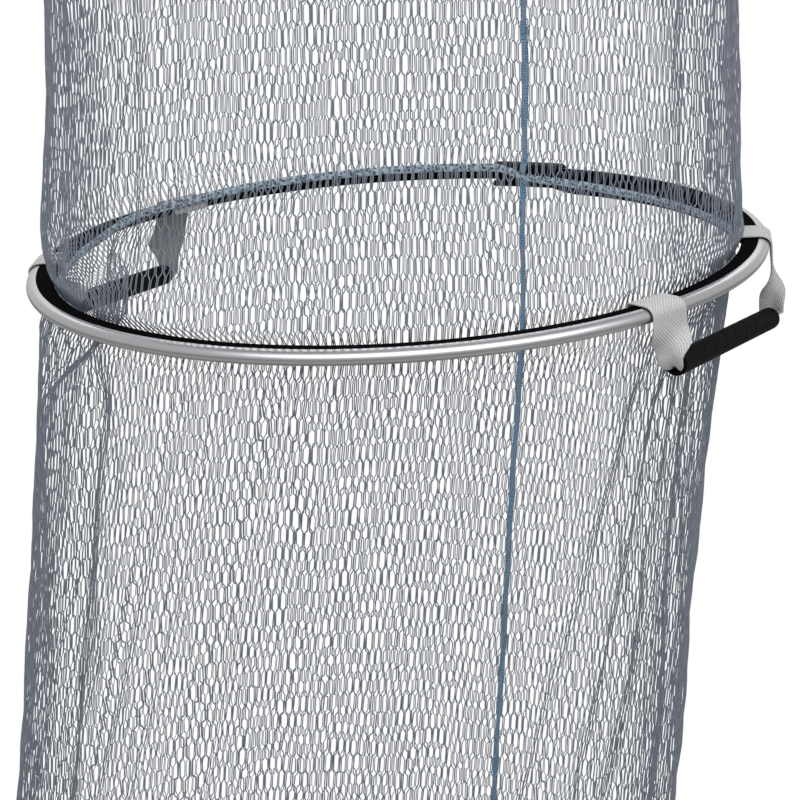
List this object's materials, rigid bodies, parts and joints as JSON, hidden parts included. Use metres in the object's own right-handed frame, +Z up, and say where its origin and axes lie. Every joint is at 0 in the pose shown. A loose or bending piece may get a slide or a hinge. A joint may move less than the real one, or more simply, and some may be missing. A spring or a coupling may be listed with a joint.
{
  "type": "keep net",
  "caption": "Round fishing keep net: a tube of fine mesh on lined metal rings, with rubber lifting handles on webbing straps and a threaded boss for a bank stick.",
  "frame": {"origin": "centre of the mouth of the bank stick thread in the mouth ring's boss", "axes": "-Y out of the thread's mouth, +Z up, and the net hangs down along -Z and leans a little towards -X; the two handles are at +X and -X"},
  "size_m": [0.6007, 0.5325, 1.626],
  "materials": {
    "anodised_aluminium": "satin anodised",
    "black_rubber": "smooth, faint sheen",
    "black_nylon": "fine moulded texture",
    "knitted_netting": "open knitted mesh",
    "blue_seam_tape": "knitted tape",
    "grey_webbing": "woven",
    "brass": "turned",
    "stainless_steel": "plain"
  },
  "bodies": {
    "mouth_ring": {"mouth_ring_rim": "anodised_aluminium", "mouth_ring_liner": "black_rubber", "mouth_ring_joint_sleeve": "black_nylon", "mouth_ring_net_hem": "knitted_netting", "bank_stick_boss": "black_nylon", "threaded_insert": "brass", "boss_screw_left": "stainless_steel", "boss_screw_right": "stainless_steel", "net_upper": "knitted_netting", "seam_tape_upper": "blue_seam_tape"},
    "handle_ring": {"handle_ring_rim": "anodised_aluminium", "handle_ring_liner": "black_rubber", "handle_ring_joint_sleeve": "black_nylon", "handle_ring_net_hem": "knitted_netting", "net_middle": "knitted_netting", "seam_tape_middle": "blue_seam_tape"},
    "right_handle": {"right_handle_grip": "black_rubber", "right_handle_front_strap": "grey_webbing", "right_handle_rear_strap": "grey_webbing"},
    "left_handle": {"left_handle_grip": "black_rubber", "left_handle_front_strap": "grey_webbing", "left_handle_rear_strap": "grey_webbing"},
    "middle_ring": {"middle_ring_rim": "anodised_aluminium", "middle_ring_liner": "black_rubber", "middle_ring_joint_sleeve": "black_nylon", "middle_ring_net_hem": "knitted_netting", "net_lower": "knitted_netting", "seam_tape_lower": "blue_seam_tape"},
    "base_ring": {"base_ring_rim": "anodised_aluminium", "base_ring_liner": "black_rubber", "base_ring_joint_sleeve": "black_nylon", "base_ring_net_hem": "knitted_netting", "net_base": "knitted_netting"}
  },
  "joints": [
    {"name": "handle_ring_slide", "type": "slide", "parent": "mouth_ring", "child": "handle_ring", "axis": [0, 0, 1], "range_m": [0, 0.35], "deforming": ["net_upper", "seam_tape_upper"]},
    {"name": "middle_ring_slide", "type": "slide", "parent": "handle_ring", "child": "middle_ring", "axis": [0.0872, 0, 0.9962], "range_m": [0, 0.49], "deforming": ["net_middle", "seam_tape_middle"]},
    {"name": "base_ring_slide", "type": "slide", "parent": "middle_ring", "child": "base_ring", "axis": [0.0872, 0, 0.9962], "range_m": [0, 0.54], "deforming": ["net_lower", "seam_tape_lower"]},
    {"name": "right_handle_hinge", "type": "hinge", "parent": "handle_ring", "child": "right_handle", "pos_m": [0.22311, 0.28, -0.42479], "axis": [0, -1, 0], "range_deg": [0, 135], "deforming": ["right_handle_front_strap", "right_handle_rear_strap"]},
    {"name": "left_handle_hinge", "type": "hinge", "parent": "handle_ring", "child": "left_handle", "pos_m": [-0.22311, 0.28, -0.45521], "axis": [0, 1, 0], "range_deg": [0, 120], "deforming": ["left_handle_front_strap", "left_handle_rear_strap"]}
  ]
}
